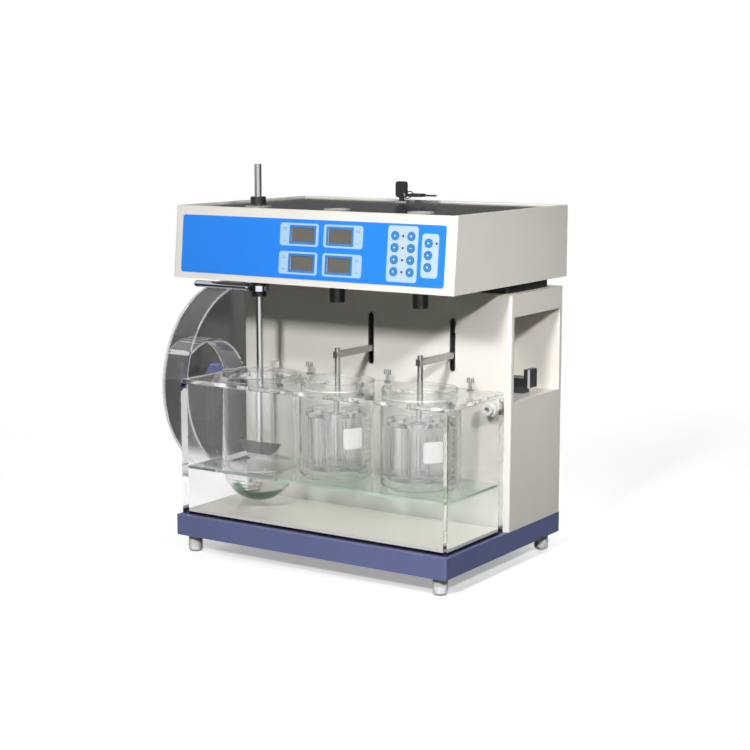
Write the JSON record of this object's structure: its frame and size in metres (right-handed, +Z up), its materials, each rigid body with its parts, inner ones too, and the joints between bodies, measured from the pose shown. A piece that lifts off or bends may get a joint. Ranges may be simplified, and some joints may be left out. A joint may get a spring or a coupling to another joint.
{
  "type": "tablet tester",
  "caption": "Bench tablet tester: clear friability drum, side hardness bay, basket racks lifting in a clear water bath, paddle stirrer and a head with displays and keys",
  "frame": {"origin": "on the floor under the middle of the whole tester", "axes": "+X to the right seen from the front, +Y from front to back, +Z up"},
  "size_m": [0.547, 0.3396, 0.5615],
  "materials": {
    "slate_paint": "satin slate blue paint",
    "cream_paint": "satin cream paint",
    "white_rubber": "white moulded rubber",
    "steel": "turned stainless steel",
    "black_plastic": "matt black plastic",
    "lid_gloss": "polished dark sheet",
    "ring_plastic": "light ring",
    "overlay_blue": "printed membrane",
    "lcd": "display window",
    "led_red": "dark red lens",
    "key_blue": "blue key",
    "black_metal": "blackened steel",
    "belt_rubber": "belt rubber",
    "motor_grey": "grey motor case",
    "chrome": "chrome plate",
    "acrylic": "clear acrylic",
    "glass": "clear glass",
    "cream_sheet": "cream sheet",
    "white_plastic": "white moulded plastic",
    "aluminium": "machined aluminium",
    "nut_blue": "blue moulded knob",
    "dark_grey": "dark grey paint"
  },
  "bodies": {
    "frame": {"base_tray": "slate_paint", "rubber_feet": "white_rubber", "column_shell": "cream_paint", "rear_cover": "cream_paint", "case_screws": "steel", "neck_spacer": "black_plastic", "hardness_bay": "cream_paint", "head_case": "cream_paint", "front_overlay": "overlay_blue", "lcd_displays": "lcd", "indicator_leds": "led_red", "spindle_housings": "black_metal", "spindle_belt": "belt_rubber", "gear_motors": "motor_grey", "water_tank": "acrylic", "tank_floor": "cream_sheet", "tank_cover": "acrylic", "vessel_shelf": "acrylic", "dissolution_vessel": "glass", "beakers": "glass", "cover_posts": "acrylic", "temperature_probe": "white_plastic", "tank_fittings": "white_plastic", "guide_rods": "steel", "hardness_rail": "dark_grey", "power_inlet": "black_plastic"},
    "lid": {"head_lid": "lid_gloss", "lid_rings": "ring_plastic", "lock_barrel": "steel"},
    "lock": {"lock_keys": "black_plastic"},
    "key_1": {"panel_key_1": "key_blue"},
    "key_2": {"panel_key_2": "key_blue"},
    "key_3": {"panel_key_3": "key_blue"},
    "key_4": {"panel_key_4": "key_blue"},
    "key_5": {"panel_key_5": "key_blue"},
    "key_6": {"panel_key_6": "key_blue"},
    "key_7": {"panel_key_7": "key_blue"},
    "key_8": {"panel_key_8": "key_blue"},
    "key_9": {"panel_key_9": "key_blue"},
    "key_10": {"panel_key_10": "key_blue"},
    "key_11": {"panel_key_11": "key_blue"},
    "spindle_a": {"spindle_left": "black_metal"},
    "stirrer": {"stirrer_paddle": "steel", "shaft_collar": "black_plastic"},
    "spindle_b": {"spindle_middle": "black_metal"},
    "spindle_c": {"spindle_right": "black_metal"},
    "motor": {"motor_pulley": "steel"},
    "lever": {"chuck_lever": "chrome"},
    "lift": {"lift_carriage": "aluminium", "basket_hangers": "steel", "basket_racks": "acrylic", "basket_tubes": "glass"},
    "pinion": {"lift_pinion": "steel"},
    "drum": {"drum_dish": "acrylic", "drum_cover": "acrylic", "drum_scoop": "acrylic", "drum_shaft": "steel", "drum_nut": "nut_blue"},
    "jaw": {"hardness_jaw": "dark_grey"},
    "rocker": {"power_rocker": "black_plastic"}
  },
  "joints": [
    {"name": "lid_tilt", "type": "hinge", "parent": "frame", "child": "lid", "pos_m": [0.041, -0.13855, 0.4995], "axis": [1, 0, 0], "range_deg": [0, 25]},
    {"name": "key_turn", "type": "hinge", "parent": "lid", "child": "lock", "pos_m": [0.011, 0.12805, 0.5015], "axis": [0, 0, 1], "range_deg": [0, 90]},
    {"name": "key_1_press", "type": "slide", "parent": "frame", "child": "key_1", "axis": [0, 0.9952, -0.0976], "range_m": [0, 0.0006], "stiffness_N_per_m": 800, "springref_m": -0.0005},
    {"name": "key_2_press", "type": "slide", "parent": "frame", "child": "key_2", "axis": [0, 0.9952, -0.0976], "range_m": [0, 0.0006], "stiffness_N_per_m": 800, "springref_m": -0.0005},
    {"name": "key_3_press", "type": "slide", "parent": "frame", "child": "key_3", "axis": [0, 0.9952, -0.0976], "range_m": [0, 0.0006], "stiffness_N_per_m": 800, "springref_m": -0.0005},
    {"name": "key_4_press", "type": "slide", "parent": "frame", "child": "key_4", "axis": [0, 0.9952, -0.0976], "range_m": [0, 0.0006], "stiffness_N_per_m": 800, "springref_m": -0.0005},
    {"name": "key_5_press", "type": "slide", "parent": "frame", "child": "key_5", "axis": [0, 0.9952, -0.0976], "range_m": [0, 0.0006], "stiffness_N_per_m": 800, "springref_m": -0.0005},
    {"name": "key_6_press", "type": "slide", "parent": "frame", "child": "key_6", "axis": [0, 0.9952, -0.0976], "range_m": [0, 0.0006], "stiffness_N_per_m": 800, "springref_m": -0.0005},
    {"name": "key_7_press", "type": "slide", "parent": "frame", "child": "key_7", "axis": [0, 0.9952, -0.0976], "range_m": [0, 0.0006], "stiffness_N_per_m": 800, "springref_m": -0.0005},
    {"name": "key_8_press", "type": "slide", "parent": "frame", "child": "key_8", "axis": [0, 0.9952, -0.0976], "range_m": [0, 0.0006], "stiffness_N_per_m": 800, "springref_m": -0.0005},
    {"name": "key_9_press", "type": "slide", "parent": "frame", "child": "key_9", "axis": [0, 0.9952, -0.0976], "range_m": [0, 0.0006], "stiffness_N_per_m": 800, "springref_m": -0.0005},
    {"name": "key_10_press", "type": "slide", "parent": "frame", "child": "key_10", "axis": [0, 0.9952, -0.0976], "range_m": [0, 0.0006], "stiffness_N_per_m": 800, "springref_m": -0.0005},
    {"name": "key_11_press", "type": "slide", "parent": "frame", "child": "key_11", "axis": [0, 0.9952, -0.0976], "range_m": [0, 0.0006], "stiffness_N_per_m": 800, "springref_m": -0.0005},
    {"name": "spindle_spin", "type": "hinge", "parent": "frame", "child": "spindle_a", "pos_m": [-0.0955, -0.08575, 0.464], "axis": [0, 0, 1], "continuous": true},
    {"name": "stirrer_height", "type": "slide", "parent": "spindle_a", "child": "stirrer", "axis": [0, 0, 1], "range_m": [-0.04, 0.13]},
    {"name": "spindle_b_spin", "type": "hinge", "parent": "frame", "child": "spindle_b", "pos_m": [0.041, -0.08575, 0.464], "axis": [0, 0, 1], "continuous": true},
    {"name": "spindle_c_spin", "type": "hinge", "parent": "frame", "child": "spindle_c", "pos_m": [0.1775, -0.08575, 0.464], "axis": [0, 0, 1], "continuous": true},
    {"name": "motor_spin", "type": "hinge", "parent": "frame", "child": "motor", "pos_m": [0.10925, -0.08575, 0.464], "axis": [0, 0, 1], "continuous": true},
    {"name": "lever_swing", "type": "hinge", "parent": "frame", "child": "lever", "pos_m": [-0.0955, -0.08575, 0.385], "axis": [0, 0, 1], "range_deg": [0, 40]},
    {"name": "basket_lift", "type": "slide", "parent": "frame", "child": "lift", "axis": [0, 0, 1], "range_m": [-0.007, 0.046]},
    {"name": "pinion_turn", "type": "hinge", "parent": "frame", "child": "pinion", "pos_m": [0.10925, 0.06425, 0.2985], "axis": [0, 1, 0], "range_deg": [-178, 29]},
    {"name": "drum_spin", "type": "hinge", "parent": "frame", "child": "drum", "pos_m": [-0.224, 0.02225, 0.231], "axis": [1, 0, 0], "continuous": true},
    {"name": "jaw_feed", "type": "slide", "parent": "frame", "child": "jaw", "axis": [1, 0, 0], "range_m": [-0.02, 0]},
    {"name": "rocker_tilt", "type": "hinge", "parent": "frame", "child": "rocker", "pos_m": [-0.064, 0.14575, 0.0955], "axis": [1, 0, 0], "range_deg": [-8, 8]}
  ],
  "couplings": [
    {"joint": "spindle_b_spin", "follows": "spindle_spin", "ratio": 1},
    {"joint": "spindle_c_spin", "follows": "spindle_spin", "ratio": 1},
    {"joint": "motor_spin", "follows": "spindle_spin", "ratio": 1},
    {"joint": "pinion_turn", "follows": "basket_lift", "rad_per_m": -66.667}
  ]
}
